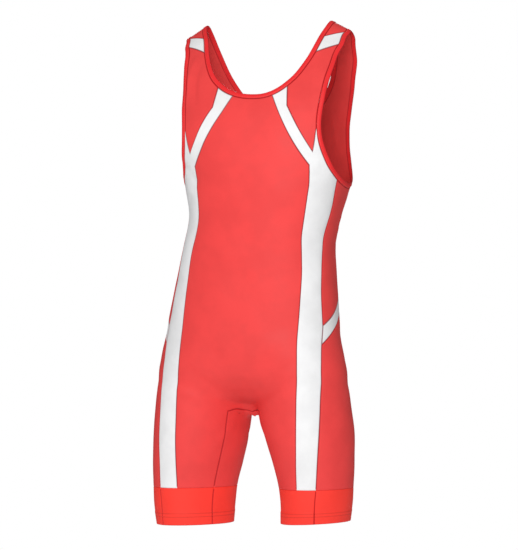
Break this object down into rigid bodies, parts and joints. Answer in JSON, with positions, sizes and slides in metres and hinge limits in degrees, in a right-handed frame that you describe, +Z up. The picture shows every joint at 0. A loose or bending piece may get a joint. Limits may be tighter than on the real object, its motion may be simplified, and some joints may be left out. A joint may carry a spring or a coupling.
{
  "type": "wrestling singlet",
  "caption": "Sleeveless one-piece stretch singlet with a scooped neck, deep armholes, short legs, contrast side stripes and bright leg bands, holding the hollow shape of a worn garment.",
  "frame": {"origin": "midway between the crests of the two shoulder straps, where the garment is held up", "axes": "+Z up along the garment, -Y the chest, +X the garment's own left side"},
  "size_m": [0.3759, 0.2363, 0.9182],
  "materials": {
    "red_lycra": "smooth stretch tricot with a soft sheen",
    "bright_red_lycra": "smooth stretch tricot with a soft sheen",
    "white_lycra": "smooth stretch tricot with a soft sheen"
  },
  "bodies": {
    "root": {"armhole_binding_left": "bright_red_lycra", "armhole_binding_right": "bright_red_lycra", "back_panel": "red_lycra", "chest_yoke_left": "red_lycra", "chest_yoke_right": "red_lycra", "front_panel": "red_lycra", "gusset": "red_lycra", "hip_band_left": "white_lycra", "hip_band_right": "white_lycra", "leg_band_back_left": "bright_red_lycra", "leg_band_back_right": "bright_red_lycra", "leg_band_front_left": "bright_red_lycra", "leg_band_front_right": "bright_red_lycra", "leg_band_inner_left": "bright_red_lycra", "leg_band_inner_right": "bright_red_lycra", "neck_binding": "bright_red_lycra", "seat_leg_left": "red_lycra", "seat_leg_right": "red_lycra", "strap_patch_left": "white_lycra", "strap_patch_right": "white_lycra", "stripe_left": "white_lycra", "stripe_right": "white_lycra"}
  },
  "joints": []
}
